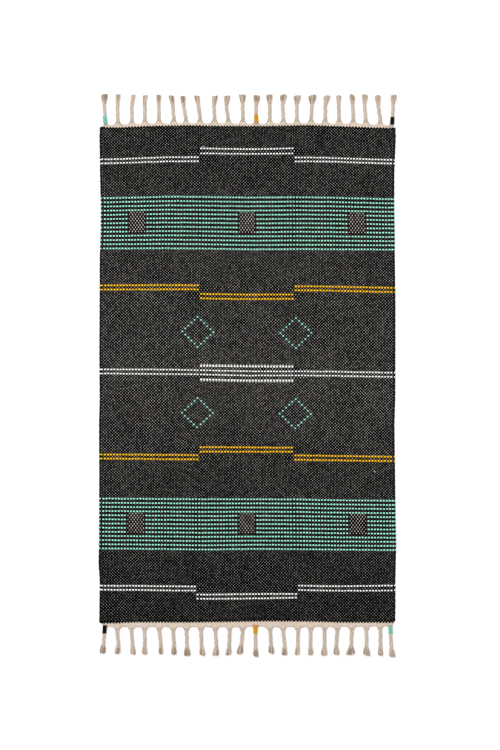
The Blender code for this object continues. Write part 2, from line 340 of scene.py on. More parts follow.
class Joined:
    """Points, faces and maps of many small forms that become one mesh."""

    MARGIN = 0.06

    def __init__(self, cells=1):
        self.points = []
        self.faces = []
        self.yarn = []
        self.bake = []
        self.count = 0
        self.used = 0
        self.grid = max(1, math.ceil(math.sqrt(cells)))

    def add(self, points, faces, yarn, bake):
        """yarn and bake give a place in each map for every corner of every face."""
        self.points.append(np.asarray(points))
        self.faces += [[self.count + index for index in face] for face in faces]
        self.count += len(points)
        self.yarn.append(np.asarray(yarn))
        cell = np.array((self.used % self.grid, self.used // self.grid))
        inside = self.MARGIN + (1 - 2 * self.MARGIN) * np.asarray(bake)
        self.bake.append((cell + inside) / self.grid)
        self.used += 1

    def object(self, name):
        maps = {"OFBake": np.concatenate(self.bake), "yarn": np.concatenate(self.yarn)}
        return new_object(name, np.concatenate(self.points), self.faces, maps)


def new_object(name, points, faces, maps):
    data = bpy.data.meshes.new(name)
    data.from_pydata(points, [], faces)
    for layer, corners in maps.items():
        uv = data.uv_layers.new(name=layer)
        uv.data.foreach_set("uv", np.asarray(corners, dtype=np.float32).ravel())
    data.shade_smooth()
    made = bpy.data.objects.new(name, data)
    bpy.context.scene.collection.objects.link(made)
    return made


def finish_piece(piece, material, slot, *nodes):
    piece.data.materials.append(material)
    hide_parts(*nodes)
    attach(piece, BODY)
    return piece


def closed_sheet(name, top, bottom, top_weave, bottom_weave):
    """A closed sheet from a fine grid of points on top and one half as fine underneath."""
    rows, columns = top.shape[0] - 1, top.shape[1] - 1
    upper = np.arange(top[..., 0].size).reshape(rows + 1, columns + 1)
    lower = upper.size + np.arange(bottom[..., 0].size).reshape(bottom.shape[:2])
    u = SHEET_MARGIN + (1 - 2 * SHEET_MARGIN) * np.arange(columns + 1) / columns
    v = SHEET_MARGIN + (0.5 - 2 * SHEET_MARGIN) * np.arange(rows + 1) / rows
    top_map = np.stack(np.meshgrid(u, v), axis=-1)
    bottom_map = top_map[::2, ::2] + (0, 0.5)
    flat_map = np.concatenate((top_map.reshape(-1, 2), bottom_map.reshape(-1, 2)))
    weave = np.concatenate((top_weave.reshape(-1, 2), bottom_weave.reshape(-1, 2)))
    quads = np.concatenate((grid_faces(upper), grid_faces(lower)[:, ::-1]))
    bake = [flat_map[quads].reshape(-1, 2)]
    walls = []
    skirts = (
        (upper[:, 0], lower[:, 0], top_map[:, 0], (0.0, None), False),
        (upper[:, -1], lower[:, -1], top_map[:, -1], (1.0, None), True),
        (upper[0], lower[0], top_map[0], (None, 0.0), True),
        (upper[-1], lower[-1], top_map[-1], (None, 0.5), False),
    )
    for high, low, places, hem, turned in skirts:
        hem_map = np.array(places)
        for axis, value in enumerate(hem):
            if value is not None:
                hem_map[:, axis] = value
        for step in range(len(low) - 1):
            first = 2 * step
            wall = [high[first], low[step], low[step + 1], high[first + 2], high[first + 1]]
            corners = [places[first], hem_map[first], hem_map[first + 2], places[first + 2]]
            corners.append(places[first + 1])
            if turned:
                wall.reverse()
                corners.reverse()
            walls.append(wall)
            bake.append(np.array(corners))
    faces = quads.tolist() + walls
    order = np.concatenate((quads.ravel(), np.array(walls).ravel()))
    points = np.concatenate((top.reshape(-1, 3), bottom.reshape(-1, 3)))
    maps = {"OFBake": np.concatenate(bake), "weave": weave[order]}
    return new_object(name, points, faces, maps)


def grid_faces(index):
    """Quads over a grid of point numbers, facing up where rows run down and columns right."""
    corners = (index[:-1, :-1], index[1:, :-1], index[1:, 1:], index[:-1, 1:])
    return np.stack(corners, axis=-1).reshape(-1, 4)


def strand(line, radii, sides, start=0.0, end=1.0, number=0, up=(0.0, 0.0, 1.0)):
    """A closed tube of yarn along a line of points, with two radii at each."""
    line = np.asarray(line, dtype=float)
    radii = np.asarray(radii, dtype=float)
    ahead = np.gradient(line, axis=0)
    ahead /= np.linalg.norm(ahead, axis=1)[:, None]
    side = np.cross(ahead, up)
    side /= np.linalg.norm(side, axis=1)[:, None]
    above = np.cross(side, ahead)
    angle = np.arange(sides) * FULL_TURN / sides
    across = np.cos(angle)[None, :, None] * side[:, None] * radii[:, 0][:, None, None]
    upward = np.sin(angle)[None, :, None] * above[:, None] * radii[:, 1][:, None, None]
    points = (line[:, None] + across + upward).reshape(-1, 3)
    rings = len(line)
    faces = []
    yarn = []
    bake = []
    for ring in range(rings - 1):
        for turn in range(sides):
            after = (turn + 1) % sides
            base, following = ring * sides, (ring + 1) * sides
            faces.append([base + turn, following + turn, following + after, base + after])
            for step, place in ((0, turn), (1, turn), (1, turn + 1), (0, turn + 1)):
                share = (ring + step) / (rings - 1)
                yarn.append((start + share * (end - start), number + 0.98 * place / sides))
                bake.append((CAP_MAP + (1 - 2 * CAP_MAP) * share, place / sides))
    for first, share, middle in ((0, 0.0, CAP_MAP / 2), ((rings - 1) * sides, 1.0, 1 - CAP_MAP / 2)):
        cap = [first + turn for turn in range(sides)]
        reach = 0.4 * CAP_MAP
        cap_bake = [(middle + reach * math.cos(a), 0.5 + 0.5 * math.sin(a)) for a in angle]
        if share:
            cap.reverse()
            cap_bake.reverse()
        faces.append(cap)
        yarn += [(start + share * (end - start), number + 0.5)] * sides
        bake += cap_bake
    return points, faces, yarn, bake


# Shaders
class Value:
    """A value in a shader. Python's operators on it add Math nodes."""

    def __init__(self, finish, socket):
        self.finish = finish
        self.socket = socket

    def math(self, operation, *values):
        inputs = dict(enumerate(values))
        return self.finish.node("ShaderNodeMath", {"operation": operation}, inputs)

    def __add__(self, other):
        return self.math("ADD", self, other)

    def __radd__(self, other):
        return self.math("ADD", other, self)

    def __sub__(self, other):
        return self.math("SUBTRACT", self, other)

    def __rsub__(self, other):
        return self.math("SUBTRACT", other, self)

    def __mul__(self, other):
        return self.math("MULTIPLY", self, other)

    def __rmul__(self, other):
        return self.math("MULTIPLY", other, self)

    def __truediv__(self, other):
        return self.math("DIVIDE", self, other)

    def __rtruediv__(self, other):
        return self.math("DIVIDE", other, self)

    def __gt__(self, other):
        return self.math("GREATER_THAN", self, other)

    def __lt__(self, other):
        return self.math("LESS_THAN", self, other)

    def absolute(self):
        return self.math("ABSOLUTE", self)

    def floor(self):
        return self.math("FLOOR", self)

    def sine(self):
        return self.math("SINE", self)

    def cosine(self):
        return self.math("COSINE", self)

    def between(self, low, high):
        return (self > low) * (self < high)

    def remainder(self, divisor):
        return self.math("FLOORED_MODULO", self, divisor)

    def limited(self):
        return self.math("MINIMUM", self.math("MAXIMUM", self, 0.0), 1.0)


class Finish:
    """A material and its node tree."""

    def __init__(self, name, roughness, specular=0.25, sheen=0.0, tint=(1.0, 1.0, 1.0, 1.0)):
        self.material = bpy.data.materials.new(name)
        self.material.use_nodes = True
        self.tree = self.material.node_tree
        self.shader = self.tree.nodes["Principled BSDF"]
        uniform = {
            "Roughness": roughness,
            "Specular IOR Level": specular,
            "Sheen Weight": sheen,
            "Sheen Roughness": 0.5,
            "Sheen Tint": tint,
        }
        for socket, value in uniform.items():
            self.shader.inputs[socket].default_value = value

    def node(self, kind, settings, values, output=0):
        """A node with its settings made first, then its sockets set or linked."""
        made = self.tree.nodes.new(kind)
        for name, setting in settings.items():
            setattr(made, name, setting)
        for key, value in values.items():
            if isinstance(value, Value):
                self.tree.links.new(value.socket, made.inputs[key])
            else:
                made.inputs[key].default_value = value
        return Value(self, made.outputs[output])

    def feed(self, name, value):
        self.tree.links.new(value.socket, self.shader.inputs[name])

    def mix(self, factor, first, second):
        inputs = {0: factor, 6: first, 7: second}
        return self.node("ShaderNodeMix", {"data_type": "RGBA"}, inputs, output=2)

    def place(self, name):
        """The two values of a place in one of the piece's maps."""
        uv = self.node("ShaderNodeUVMap", {"uv_map": name}, {})
        return [self.node("ShaderNodeSeparateXYZ", {}, {0: uv}, output) for output in (0, 1)]

    def noise(self, scale, detail=2.0):
        """Soft noise from about 0.3 to 0.7, over the object's own coordinates."""
        where = self.node("ShaderNodeTexCoord", {}, {}, output=3)
        inputs = {"Vector": where, "Scale": scale, "Detail": detail}
        return self.node("ShaderNodeTexNoise", {}, inputs)

    def chance(self, first, second):
        """An even random value from 0 to 1 for each pair of whole numbers."""
        pair = self.node("ShaderNodeCombineXYZ", {}, {0: first, 1: second})
        return self.node("ShaderNodeTexWhiteNoise", {"noise_dimensions": "2D"}, {"Vector": pair})

    def bump(self, height, distance, strength=1.0):
        inputs = {"Height": height, "Distance": distance, "Strength": strength}
        self.feed("Normal", self.node("ShaderNodeBump", {}, inputs))


def rgba(colour):
    return (*colour[:3], 1.0)


def shade(colour, factor):
    return (*(channel * factor for channel in colour[:3]), 1.0)


# Ground: how much the warp specks grow, shrink and dim from place to place
PATCH_SPREAD = 0.30
SQUARE_GROWTH = 0.24
SQUARE_TINT = 0.9
END_DIMMING = 0.34
NEAR_DIMMING = 0.22
SPECK_FADE = 0.4
LIGHT_FADE = 0.5
SPECK_EDGE = 1.9
FIRST_SPECK_WARP = 1
LAST_SPECK_WARP = WARPS - SELVEDGE_WARPS - 1
# Multiples of the black: painted highlight on the crests of the weft and painted shade in its hollows
CREST_PAINTED_LIGHT = 2.2
HOLLOW_PAINTED_SHADE = 0.4
# Painted light: the black weft along the selvedges is painted lighter, as if lit from the side
SELVEDGE_PAINTED_LIGHT = 11.0


def inlaid_areas(warp, pick):
    """Masks of the mint bands, and of the open squares in them."""
    last_row = 2 * (BAND_ROWS - 1)
    band = sum(pick.between(first - 0.5, first + last_row + 0.5) for first in BAND_PICKS)
    low_row, high_row = (2 * row for row in SQUARE_ROWS)
    rows = sum(pick.between(first + low_row - 1.5, first + high_row + 0.5) for first in BAND_PICKS)
    edges = [[BAND_FIRST_WARP + 2 * dot for dot in dots] for dots in SQUARE_DOTS]
    return band, rows * sum(warp.between(low - 0.5, high + 0.5) for low, high in edges)


def weave_finish(colours, weave):
    """Black weft humps with the natural warp showing between them."""
    finish = Finish("black_weft_over_natural_warp", 0.9, specular=0.02)
    warp, pick = finish.place("weave")
    near_warp = (warp + 0.5).floor()
    near_pick = (pick + 0.5).floor()
    odd = (near_warp + near_pick).remainder(2.0)
    luck = finish.chance(near_warp, near_pick)
    patches = finish.noise(9.0, 3.0)
    band, square = inlaid_areas(warp, pick)
    from_middle = (pick - PICKS / 2) / (PICKS / 2)
    fade = (END_DIMMING + NEAR_DIMMING * (from_middle > 0.0)) * from_middle.absolute()
    reach = 1.0 + weave.speck_spread * (luck - 0.5) + PATCH_SPREAD * (patches - 0.5)
    reach = reach + SQUARE_GROWTH * square - SPECK_FADE * fade
    width = (warp - near_warp) / (weave.speck_width * reach)
    length = (pick - near_pick) / (weave.speck_length * reach)
    dome = 1.0 - width * width - length * length
    inside = warp.between(FIRST_SPECK_WARP - 0.6, LAST_SPECK_WARP + 0.6)
    clear = inside * pick.between(0.5, PICKS - 1.5)
    twist = (FULL_TURN * (1.5 * warp + 3.0 * pick)).sine()
    fibres = finish.noise(900.0)
    humps = (math.pi * warp).cosine() * (math.pi * pick).cosine()
    # The weft is painted lighter on the crests of its humps and darker in the hollows between them:
    # painted highlight and painted shade
    crest = (humps * (0.9 + 0.25 * twist) * (0.4 + 1.2 * fibres)).limited()
    weft = finish.mix(crest, shade(colours.black, HOLLOW_PAINTED_SHADE), shade(colours.black, CREST_PAINTED_LIGHT))
    # Near the selvedges the weft is painted lighter: painted light on the side edges of the cloth
    weft = finish.mix(inside, shade(colours.black, SELVEDGE_PAINTED_LIGHT), weft)
    tone = finish.mix(luck, shade(colours.warp, 0.8), shade(colours.warp, 1.2))
    tone = finish.mix(square * SQUARE_TINT, tone, rgba(colours.bright_warp))
    # Between the mint rows the warp is painted darker and redder: partly painted shade from the raised
    # mint dots beside it, partly a reddish tone of its own
    tone = finish.mix(band * (1.0 - square), tone, rgba(colours.hidden_warp))
    light = 1.0 - LIGHT_FADE * fade
    # Each speck fades softly into the black towards its rim: painted shade where the warp dives under the
    # weft
    speck = (SPECK_EDGE * dome).limited() * (0.88 + 0.24 * twist) * odd * clear * light
    finish.feed("Base Color", finish.mix(speck, weft, tone))
    finish.bump(twist * 0.25 + fibres + humps + 1.2 * speck, 0.4 * MM, 0.9)
    return finish.material


def inlay_finish(name, colour, specular=0.25):
    """Thick soft yarn laid into the weave, each float a little different."""
    finish = Finish(name, 0.85, specular=specular, sheen=0.15, tint=rgba(colour))
    along, across = finish.place("yarn")
    float_number = (across * 0.5).floor()
    luck = finish.chance(float_number, float_number)
    fibres = finish.noise(700.0)
    tone = (0.55 * luck + 0.9 * (fibres - 0.25)).limited()
    finish.feed("Base Color", finish.mix(tone, shade(colour, 0.8), rgba(colour)))
    twist = (FULL_TURN * (0.9 * along + 0.8 * across)).sine()
    finish.bump(twist * 0.4 + fibres, 0.3 * MM, 0.6)
    return finish.material


def cotton_finish(name, colour, tip_colour):
    """Undyed twisted cotton. Where the cut ends fan out it is painted lighter, as painted light against
    the shade between the strands, and some clumps are darker.
    """
    finish = Finish(name, 0.9, sheen=0.1, tint=rgba(colour))
    along, around = finish.place("yarn")
    luck = finish.chance(around.floor(), 3.0)
    fibres = finish.noise(600.0, 3.0)
    patches = finish.noise(45.0)
    twist = (FULL_TURN * (7.0 * along + 4.0 * around)).sine()
    tone = 0.25 + 0.4 * luck + 0.5 * (fibres - 0.4) + 0.5 * (patches - 0.4) + 0.16 * twist
    body = finish.mix(tone.limited(), shade(colour, 0.74), shade(colour, 1.06))
    # Where the cut ends open out the cotton is painted lighter: painted light that lifts the shade falling
    # between the strands
    opened = ((along - 0.95) * 6.0).limited()
    body = finish.mix(opened * 0.8, body, shade(colour, 1.4))
    frayed = opened * (2.1 * luck - 0.8).limited()
    finish.feed("Base Color", finish.mix(frayed, body, rgba(tip_colour)))
    finish.bump(twist * 0.8 + fibres, 0.4 * MM, 0.9)
    return finish.material


def heading_finish(colours):
    """The plain weave of natural yarn both ways, with painted highlight on its crests and painted shade in
    its grooves.
    """
    finish = Finish("natural_heading", 0.92, sheen=0.1, tint=rgba(colours.natural))
    warp, pick = finish.place("weave")
    luck = finish.chance((warp + 0.5).floor(), (pick + 0.5).floor())
    fibres = finish.noise(700.0)
    crest = (math.pi * warp).cosine() * (math.pi * pick).cosine()
    grooves = (FULL_TURN * warp).cosine() * (FULL_TURN * pick).cosine()
    uneven = 0.35 * (luck - 0.5) + 0.4 * (fibres - 0.5)
    # Crests are painted toward cream and grooves toward a darker natural: painted highlight and painted
    # shade
    tone = (0.55 + 0.22 * crest + 0.16 * grooves + uneven).limited()
    finish.feed("Base Color", finish.mix(tone, shade(colours.natural, 0.74), rgba(colours.cream)))
    finish.bump(fibres * 0.6 + 0.5 * grooves + 0.5 * crest, 0.4 * MM, 0.8)
    return finish.material


# Weave: the heights of its face, as shares of the relief, then the forms of its edges
HUMP = 1.0
SHOULDER = 0.62
SPECK = 0.5
GROOVE = 0.35
PIT = 0.15
UNDER_HUMP = 0.6
HEIGHT_SPREAD = 0.07
HEIGHT_LIMITS = (0.8, 1.2)
EDGE_RIPPLE = 0.35
EDGE_PROFILE = (0.22, 0.70, 0.93, 1.0)
CORNER_PROFILE = (1.0, 0.9, 0.6, 0.3)
CORNER_REACH = {"far": (2.4 * MM, 2.4 * MM), "near": (2.0 * MM, -1.5 * MM)}
TOOTH_REACH = 1.5 * MM
TOOTH_SHOULDER = 0.5 * MM
TOOTH_NOTCH = 1.2 * MM
TOOTH_LIFT = 0.8
TURN_REACH = 0.45 * MM


def crossing_heights(lattice, rng):
    """The relief of the face, from 0 in its pits to 1 on its crests."""
    warp, pick = np.meshgrid(lattice.warps, lattice.picks)
    on_warp = np.isclose(warp, np.round(warp))
    on_pick = np.isclose(pick, np.round(pick))
    even = np.isclose((warp + pick) % 2, 0)
    height = np.full(warp.shape, PIT)
    height[on_pick] = SHOULDER
    height[on_warp] = GROOVE
    height[on_warp & on_pick] = SPECK
    height[on_warp & on_pick & even] = HUMP
    return height * (1 + HEIGHT_SPREAD * rng.standard_normal(height.shape)).clip(*HEIGHT_LIMITS)


def shape_edges(lattice, top, settings):
    """Rounds the selvedges, and lets the first and last humps bite into the headings."""
    low = settings.thickness - settings.relief
    ripple = np.where(np.isclose(lattice.picks % 1, 0), 0.0, -EDGE_RIPPLE * settings.relief)
    turn = np.where(np.isclose((lattice.picks // 2) % 2, 0), TURN_REACH, 0.0)
    for step, share in enumerate(EDGE_PROFILE):
        for column in (step, -1 - step):
            top[:, column, 2] = share * settings.thickness + ripple * share
    top[:, 0, 0] -= turn
    top[:, -1, 0] += turn
    whole = np.isclose(lattice.warps % 1, 0)
    even = np.isclose(lattice.warps % 2, 0)
    reach = np.where(whole, np.where(even, TOOTH_REACH, -TOOTH_NOTCH), TOOTH_SHOULDER)
    lift = np.where(whole & even, TOOTH_LIFT, 0.0)
    for row, end in ((0, "far"), (-1, "near")):
        corner = np.array(CORNER_PROFILE)
        left, right = CORNER_REACH[end]
        reach[:len(corner)] = left * corner
        reach[-len(corner):] = right * corner[::-1]
        top[row, :, 1] += SIDES[end] * reach
        top[row, 2:-2, 2] = (low + lift * settings.relief)[2:-2]


def build_weave(lattice, settings, material):
    rng = draws("weave")
    height = crossing_heights(lattice, rng)
    level = settings.thickness - settings.relief + height * settings.relief
    top = np.stack((lattice.x, lattice.y, level), axis=-1)
    shape_edges(lattice, top, settings)
    weave_map = np.stack(np.meshgrid(lattice.warps, lattice.picks), axis=-1)
    under = top[::2, ::2].copy()
    back_pick, back_warp = np.indices(under.shape[:2])
    even = (back_pick + back_warp) % 2 == 0
    under[..., 2] = np.where(even, 0.0, UNDER_HUMP * settings.relief)
    back_map = np.stack((back_warp, back_pick), axis=-1).astype(float)
    for name, first, last in zip(SECTION_NAMES, SECTION_ENDS, SECTION_ENDS[1:]):
        fine = slice(2 * first, 2 * last + 1)
        coarse = slice(first, last + 1)
        piece = closed_sheet(name, top[fine], under[coarse], weave_map[fine], back_map[coarse])
        finish_piece(piece, material, "black_weave", "cloth")
        float(lattice.outline.width)


# Inlay
Bead = namedtuple("Bead", "along across crest rim foot")
DOT_SIDES = 8
CROWN_REACH = 0.64
CROWN_SHARE = 0.84
BACK_SIDES = 5
RIM_SINK = 1.3
DOT_DRIFT = 0.10 * MM
BACK_SHARE = 0.8
BACK_RIM = 1.2 * MM
TURN_LIFT = 0.75
EDGE_LIFT = 0.85
POINT_LIFT = 0.3
DIAMOND_LIFT = 0.9

# Where the back and the face of a bead lie in its map, and half the room that each takes
BEAD_BACK_MAP = (0.12, 0.1)
BEAD_FACE_MAP = (0.64, 0.34)


def side_turns(pick, sides):
    """The loops of yarn that turn round one or both selvedges."""
    for warp in sides:
        yield warp, pick, DOT_SIZES["turn"], TURN_LIFT


def stripe_dots(stripe):
    for pick in stripe.picks:
        size = DOT_SIZES["tall" if pick in POINTED_PICKS else stripe.yarn]
        for first, last in stripe.spans:
            for number in range(first, last + 1):
                warp = STRIPE_FIRST_WARP + 2 * number
                yield warp, pick, size, 1.0
                if pick in POINTED_PICKS:
                    yield warp, pick + POINTED_PICKS[pick], DOT_SIZES["peak"], POINT_LIFT
            if first == 0:
                yield from side_turns(pick, (0,))
                yield 1, pick, DOT_SIZES["edge"], EDGE_LIFT
            if last == LAST_STRIPE_DOT:
                yield from side_turns(pick, (WARPS - 1,))


def band_dots(first_pick):
    size = DOT_SIZES["band"]
    for row in range(BAND_ROWS):
        pick = first_pick + 2 * row
        in_square = SQUARE_ROWS[0] <= row <= SQUARE_ROWS[1]
        for number in range(BAND_DOTS):
            open_here = any(low <= number <= high for low, high in SQUARE_DOTS)
            if in_square and open_here:
                continue
            yield BAND_FIRST_WARP + 2 * number, pick, size, 1.0
        yield from side_turns(pick, (0, WARPS - 1))


def diamond_dots(middle, first_pick):
    size = DOT_SIZES["diamond"]
    for row in range(2 * DIAMOND_REACH + 1):
        offset = DIAMOND_REACH - abs(row - DIAMOND_REACH)
        for number in sorted({middle - offset, middle + offset}):
            yield STRIPE_FIRST_WARP + 2 * number, first_pick + 2 * row, size, DIAMOND_LIFT


def inlay_dots(yarn):
    """Warp, pick, size and lift of every place where a yarn floats over the face."""
    for stripe in STRIPES:
        if stripe.yarn == yarn:
            yield from stripe_dots(stripe)
    if yarn == "mint":
        for first_pick in BAND_PICKS:
            yield from band_dots(first_pick)
        for middle in DIAMOND_DOTS:
            for first_pick in DIAMOND_PICKS:
                yield from diamond_dots(middle, first_pick)


def bead(x, y, form, sides, number):
    """A closed float of yarn: a crown on a blunt cone whose foot is inside the cloth."""
    flat = [(0.0, 0.0)]
    levels = [form.crest]
    for reach, share in ((CROWN_REACH, CROWN_SHARE), (1.0, 0.0)):
        for turn in range(sides):
            angle = FULL_TURN * (turn + 0.5) / sides
            along, across = math.cos(angle), math.sin(angle)
            flat.append((reach * along, reach * across))
            levels.append(form.rim + share * (form.crest - form.rim))
    flat.append((0.0, 0.0))
    levels.append(form.foot)
    points = [
        (x + along * form.along, y + across * form.across, level)
        for (along, across), level in zip(flat, levels)
    ]
    inner, outer, foot = 1, 1 + sides, 1 + 2 * sides
    faces = []
    for turn in range(sides):
        after = (turn + 1) % sides
        faces.append([0, inner + turn, inner + after])
        faces.append([inner + turn, outer + turn, outer + after, inner + after])
        faces.append([foot, outer + after, outer + turn])
    if form.crest < form.foot:
        faces = [face[::-1] for face in faces]
    yarn = []
    bake = []
    for face in faces:
        middle, size = BEAD_BACK_MAP if foot in face else BEAD_FACE_MAP
        for index in face:
            along, across = flat[index]
            yarn.append((along, 2 * number + 1 + 0.9 * across))
            bake.append((0.5 + 0.48 * along, middle + size * across))
    return points, faces, yarn, bake


def build_inlay(lattice, yarn, settings, material):
    rng = draws(f"inlay_{yarn}")
    dots = list(inlay_dots(yarn))
    joined = Joined(2 * len(dots))
    rim_level = settings.thickness - RIM_SINK * settings.relief
    foot = settings.thickness / 2
    for number, (warp, pick, size, lift) in enumerate(dots):
        across = size.across * rng.uniform(0.93, 1.07)
        along = size.along * rng.uniform(0.95, 1.05)
        crest = settings.thickness + lift * settings.inlay_height * rng.uniform(0.9, 1.1)
        shift_x, shift_y = rng.normal(0.0, DOT_DRIFT, 2)
        x, y = lattice.at(warp, pick)
        front = Bead(along, across, crest, rim_level, foot)
        joined.add(*bead(x + shift_x, y + shift_y, front, DOT_SIDES, number))
        if warp + 1 < WARPS:
            x, y = lattice.at(warp + 1, pick)
            back = Bead(along, BACK_SHARE * across, 0.0, BACK_RIM, foot)
            joined.add(*bead(x, y, back, BACK_SIDES, number))
    piece = joined.object(f"inlay_{yarn}")
    return finish_piece(piece, material, f"{yarn}_yarn")


# Heading
HEADING_SOLID_TOP = 3.0 * MM
HEADING_SOLID_DEPTH = 22.0 * MM
HEADING_FIRST_LINE = 2
HEADING_PICKS = 5
HEADING_TUCK = 4.0 * MM
HEADING_CREST = 3.5 * MM
HEADING_RELIEF = 1.0 * MM
HEADING_UNDER = 0.1 * MM
HEADING_SPREAD = 0.02

# Heights of the heading's face over a warp and beside it, as shares of its relief
BETWEEN_PICKS = (0.45, 0.2)
ON_PICK = (0.72, 0.55)
HEADING_HUMP = 1.0

# The heading rises to its full height over the first half of its depth
INNER_RISE = 0.62
GATHER = 0.38
HALF_TASSEL_GAP = 16.0 * MM
ARC_OUT = {"far": 0.6 * MM, "near": 1.2 * MM}
ARC_IN = {"far": 2.8 * MM, "near": 1.2 * MM}


def heading_rim(end):
    """The outer edge of a heading, read from the flat top of its solid."""
    points = node_points(f"fringe_{end}")
    top = points[np.isclose(points[:, 2], HEADING_SOLID_TOP, atol=0.05 * MM)]
    root_limit = np.abs(top[:, 1]).min() + HEADING_SOLID_DEPTH
    top = top[np.abs(top[:, 1]) < root_limit]
    return rim(top, 0, 1, SIDES[end] > 0)


def heading_edge(end, x, rim_places, roots):
    """The outer edge of a heading, which runs out at each tassel and draws back between them."""
    away = np.abs(np.asarray(x)[..., None] - roots).min(axis=-1)
    between = smooth(np.clip(away / HALF_TASSEL_GAP, 0, 1))
    shift = ARC_OUT[end] * (1 - between) - ARC_IN[end] * between
    return np.interp(x, *rim_places) + SIDES[end] * shift


def gathered(x, share, roots):
    """Where a warp is drawn to, on its way from the cloth to the nearest tassel."""
    nearest = roots[np.abs(np.asarray(x)[:, None] - roots[None]).argmin(axis=1)]
    return x + GATHER * share ** 2 * (nearest - x)


def heading_level(warps, pick, share, rng):
    """The height of one line of the heading, with humps where the yarns cross."""
    on_warp = np.isclose(warps % 1, 0)
    even = np.isclose((warps + pick) % 2, 0)
    level = np.where(on_warp, *(ON_PICK if pick % 1 == 0 else BETWEEN_PICKS))
    if pick % 1 == 0:
        level = np.where(on_warp & even, HEADING_HUMP, level)
    level = HEADING_CREST + (level - 1.0) * HEADING_RELIEF
    level = level * (1 + HEADING_SPREAD * rng.standard_normal(len(level)))
    return level * (INNER_RISE + (1 - INNER_RISE) * min(1.0, share * 2))


def build_heading(lattice, end, tassels, material):
    """The natural border between the black cloth and the tassels, drawn together at each."""
    side = SIDES[end]
    edge_row = 0 if side > 0 else -1
    lines = slice(HEADING_FIRST_LINE, len(lattice.warps) - HEADING_FIRST_LINE)
    warps = lattice.warps[lines]
    base_x = lattice.x[edge_row, lines]
    roots = np.array([tassel.xs[0] for tassel in tassels])
    rim_places = heading_rim(end)
    rows = 2 * HEADING_PICKS
    rng = draws("heading")
    top = []
    weave_map = []
    for row in range(rows + 1):
        share = row / rows
        x = gathered(base_x, share, roots)
        inner = lattice.outline.end(end, x) - side * HEADING_TUCK
        outer = heading_edge(end, x, rim_places, roots)
        level = heading_level(warps, row / 2, share, rng)
        if row == rows:
            level = np.full(len(warps), 4 * HEADING_UNDER)
        top.append(np.stack((x, inner + share * (outer - inner), level), axis=-1))
        weave_map.append(np.stack((warps, np.full(len(warps), row / 2)), axis=-1))
    top, weave_map = np.array(top), np.array(weave_map)
    if side > 0:
        top, weave_map = top[::-1], weave_map[::-1]
    under = top[::2, ::2].copy()
    under[..., 2] = HEADING_UNDER
    piece = closed_sheet(f"heading_{end}", top, under, weave_map, weave_map[::2, ::2])
    finish_piece(piece, material, "natural_cotton", f"fringe_{end}")


FLOAT_HALF_WIDTH = 1.35 * MM
FLOAT_HALF_LENGTH = 2.5 * MM
FLOAT_SIDES = 8
FLOAT_STEP = 2


def build_floats(lattice, end, settings, material):
    """The warps that rise out of the heading over the first black pick, like teeth."""
    rng = draws("floats")
    pick = -0.5 if end == "far" else PICKS - 0.5
    warps = range(SELVEDGE_WARPS + 1, WARPS - SELVEDGE_WARPS, FLOAT_STEP)
    joined = Joined(len(warps))
    for number, warp in enumerate(warps):
        x, y = lattice.at(warp, pick)
        length = FLOAT_HALF_LENGTH * rng.uniform(0.85, 1.1)
        crest = settings.thickness + rng.uniform(-0.3, 0.1) * MM
        form = Bead(FLOAT_HALF_WIDTH, length, crest, settings.thickness / 2, HEADING_UNDER)
        joined.add(*bead(x, y, form, FLOAT_SIDES, number))
    piece = joined.object(f"warp_floats_{end}")
    return finish_piece(piece, material, "natural_cotton")


# Tassels: how each one is read from its solid
ABOVE_HEADING = 3.5 * MM
TASSEL_GAP = 8.0 * MM


class TasselLine:
    """The middle line and width of one tassel, read from the rings of its solid."""

    NARROWEST = 4 * MM
    KEYS_PER_METRE = 10000

    def __init__(self, points, side):
        self.side = side
        rings = {}
        for x, y, z in points:
            rings.setdefault(round(y * self.KEYS_PER_METRE), []).append(x)
        self.ys = []
        self.xs = []
        self.widths = []
        for key in sorted(rings, key=abs):
            low, high = min(rings[key]), max(rings[key])
            if high - low < self.NARROWEST:
                continue
            self.ys.append(key / self.KEYS_PER_METRE)
            self.xs.append((low + high) / 2)
            self.widths.append(high - low)
        self.tip = self.ys[-1]

    def x(self, y):
        return float(np.interp(abs(y), np.abs(self.ys), self.xs))

    def width(self, y):
        return float(np.interp(abs(y), np.abs(self.ys), self.widths))


def read_tassels(end):
    """The tassels of one end from left to right."""
    points = node_points(f"fringe_{end}")
    side = SIDES[end]
    stems = points[points[:, 2] > ABOVE_HEADING]
    stems = stems[np.argsort(stems[:, 0])]
    breaks = np.where(np.diff(stems[:, 0]) > TASSEL_GAP)[0] + 1
    return [TasselLine(group, side) for group in np.split(stems, breaks)]


# Stems
STEM_STATIONS = 20
STEM_SIDES = 8
STEM_ROOT_TUCK = 2.0 * MM
STEM_OVERRUN = 5.0 * MM
STEM_SWAY = 0.3 * MM
SWAY_WINDOW = (0.25, 0.5, 0.25)
TWIST_RANGE = (0.85, 1.2)
PLY_SPREAD = 0.06
PLY_TAPER = (0.9, 0.7)

# The root is lower, thinner and wider than the stem. A wound root is pinched
ROOT_LENGTH = 10.0 * MM
ROOT_HEIGHT = 0.42
ROOT_PLY = 0.62
ROOT_FLARE = 0.8
BOUND_LENGTH = 24.0 * MM
BOUND_PINCH = 0.24
BOUND_RUN = 6.0 * MM

# The neck is drawn in a little before the brush
NECK_PINCH = 0.22
NECK_PINCH_BACK = 8.0 * MM
NECK_PINCH_REACH = 3.0 * MM

